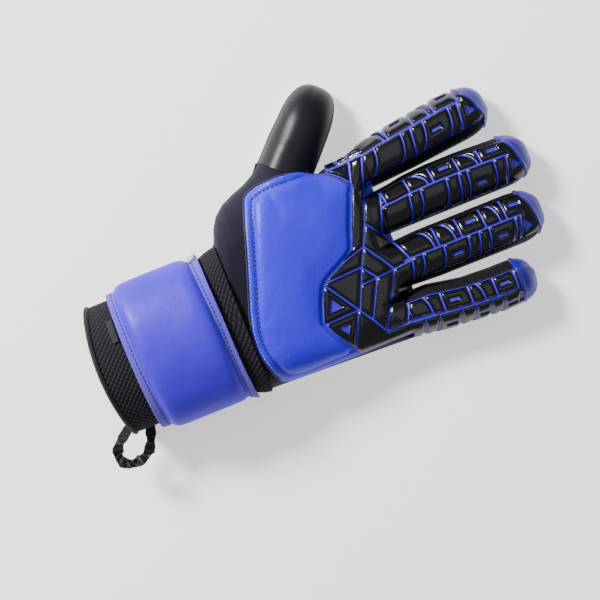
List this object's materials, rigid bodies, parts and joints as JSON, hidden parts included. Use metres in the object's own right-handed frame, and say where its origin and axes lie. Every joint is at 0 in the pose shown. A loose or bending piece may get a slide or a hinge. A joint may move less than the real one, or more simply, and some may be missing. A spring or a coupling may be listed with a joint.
{
  "type": "goalkeeper glove",
  "caption": "Right-hand goalkeeper's glove with a padded back, embossed knuckle ribs, latex palm, knit cuff and a padded wrist strap that peels open.",
  "frame": {"origin": "on the flat contact face of the palm, under the middle of the hand", "axes": "+X to the fingertips, +Y to the thumb side, +Z out of the back of the hand"},
  "size_m": [0.2899, 0.1722, 0.0577],
  "materials": {
    "palm_latex": "matte grippy latex foam, pale grey",
    "back_latex": "grained embossed latex, violet blue",
    "rib_rubber": "glossy embossed ribs",
    "mesh_knit": "fine knit spandex",
    "gusset_knit": "stretch knit gussets with lining",
    "thumb_skin": "smooth satin black skin",
    "cuff_knit": "coarse waffle elastic knit",
    "edge_binding": "folded woven binding",
    "elastic": "ribbed elastic webbing",
    "hook_tape": "hook side of a hook and loop fastener",
    "loop_tape": "loop side of a hook and loop fastener",
    "strap_nap": "brushed nap backing cloth",
    "loop_ribbon": "folded grosgrain ribbon",
    "tab_weave": "woven tab"
  },
  "bodies": {
    "hand": {"palm_foam": "palm_latex", "mesh_body": "mesh_knit", "pad_flange": "back_latex", "back_pad": "back_latex", "knuckle_panel": "rib_rubber", "cuff": "cuff_knit", "cuff_binding": "edge_binding", "wrist_band": "elastic", "loop_tape": "loop_tape", "size_tab": "tab_weave"},
    "strap": {"hook_tape": "hook_tape", "strap_base": "strap_nap", "strap_pad": "back_latex"},
    "pull_loop": {"pull_loop": "loop_ribbon"},
    "index_lower": {"index_root_fold": "palm_latex", "index_lower_palm": "palm_latex", "index_lower_gusset": "gusset_knit", "index_lower_back": "rib_rubber"},
    "index_tip": {"index_middle_fold": "palm_latex", "index_tip_palm": "palm_latex", "index_tip_gusset": "gusset_knit", "index_tip_back": "rib_rubber", "index_cap": "back_latex"},
    "middle_lower": {"middle_root_fold": "palm_latex", "middle_lower_palm": "palm_latex", "middle_lower_gusset": "gusset_knit", "middle_lower_back": "rib_rubber"},
    "middle_tip": {"middle_middle_fold": "palm_latex", "middle_tip_palm": "palm_latex", "middle_tip_gusset": "gusset_knit", "middle_tip_back": "rib_rubber", "middle_cap": "back_latex"},
    "ring_lower": {"ring_root_fold": "palm_latex", "ring_lower_palm": "palm_latex", "ring_lower_gusset": "gusset_knit", "ring_lower_back": "rib_rubber"},
    "ring_tip": {"ring_middle_fold": "palm_latex", "ring_tip_palm": "palm_latex", "ring_tip_gusset": "gusset_knit", "ring_tip_back": "rib_rubber", "ring_cap": "back_latex"},
    "little_lower": {"little_root_fold": "palm_latex", "little_lower_palm": "palm_latex", "little_lower_gusset": "gusset_knit", "little_lower_back": "rib_rubber"},
    "little_tip": {"little_middle_fold": "palm_latex", "little_tip_palm": "palm_latex", "little_tip_gusset": "gusset_knit", "little_tip_back": "rib_rubber", "little_cap": "back_latex"},
    "thumb_lower": {"thumb_root_fold": "palm_latex", "thumb_lower_palm": "palm_latex", "thumb_lower_gusset": "gusset_knit", "thumb_lower_back": "thumb_skin"},
    "thumb_tip": {"thumb_middle_fold": "palm_latex", "thumb_tip_palm": "palm_latex", "thumb_tip_gusset": "gusset_knit", "thumb_tip_back": "thumb_skin"}
  },
  "joints": [
    {"name": "index_knuckle", "type": "hinge", "parent": "hand", "child": "index_lower", "pos_m": [0.066, 0.0432, 0.0125], "axis": [-0.0785, 0.9969, 0], "range_deg": [0, 60], "deforming": ["index_root_fold"]},
    {"name": "index_middle", "type": "hinge", "parent": "index_lower", "child": "index_tip", "pos_m": [0.09292, 0.04532, 0.0125], "axis": [-0.0785, 0.9969, 0], "range_deg": [0, 60], "deforming": ["index_middle_fold"]},
    {"name": "middle_knuckle", "type": "hinge", "parent": "hand", "child": "middle_lower", "pos_m": [0.066, 0.0142, 0.0125], "axis": [0.0087, 1, 0], "range_deg": [0, 60], "deforming": ["middle_root_fold"]},
    {"name": "middle_middle", "type": "hinge", "parent": "middle_lower", "child": "middle_tip", "pos_m": [0.095, 0.01395, 0.0125], "axis": [0.0087, 1, 0], "range_deg": [0, 60], "deforming": ["middle_middle_fold"]},
    {"name": "ring_knuckle", "type": "hinge", "parent": "hand", "child": "ring_lower", "pos_m": [0.066, -0.0182, 0.0125], "axis": [0.0122, 0.9999, 0], "range_deg": [0, 60], "deforming": ["ring_root_fold"]},
    {"name": "ring_middle", "type": "hinge", "parent": "ring_lower", "child": "ring_tip", "pos_m": [0.093, -0.01853, 0.0125], "axis": [0.0122, 0.9999, 0], "range_deg": [0, 60], "deforming": ["ring_middle_fold"]},
    {"name": "little_knuckle", "type": "hinge", "parent": "hand", "child": "little_lower", "pos_m": [0.0578, -0.0474, 0.0125], "axis": [0.0872, 0.9962, 0], "range_deg": [0, 60], "deforming": ["little_root_fold"]},
    {"name": "little_middle", "type": "hinge", "parent": "little_lower", "child": "little_tip", "pos_m": [0.08071, -0.0494, 0.0125], "axis": [0.0872, 0.9962, 0], "range_deg": [0, 60], "deforming": ["little_middle_fold"]},
    {"name": "thumb_knuckle", "type": "hinge", "parent": "hand", "child": "thumb_lower", "pos_m": [0.018, 0.0625, 0.0125], "axis": [-0.7133, 0.7009, 0], "range_deg": [0, 40], "deforming": ["thumb_root_fold"]},
    {"name": "thumb_middle", "type": "hinge", "parent": "thumb_lower", "child": "thumb_tip", "pos_m": [0.03202, 0.07676, 0.0125], "axis": [-0.7133, 0.7009, 0], "range_deg": [0, 45], "deforming": ["thumb_middle_fold"]},
    {"name": "strap_peel", "type": "hinge", "parent": "hand", "child": "strap", "pos_m": [-0.08075, -0.0603, 0.0256], "axis": [1, 0, 0], "range_deg": [0, 100]},
    {"name": "loop_swing", "type": "hinge", "parent": "hand", "child": "pull_loop", "pos_m": [-0.1255, -0.0531, 0.0229], "axis": [0.9994, -0.0349, 0], "range_deg": [-60, 60]}
  ]
}
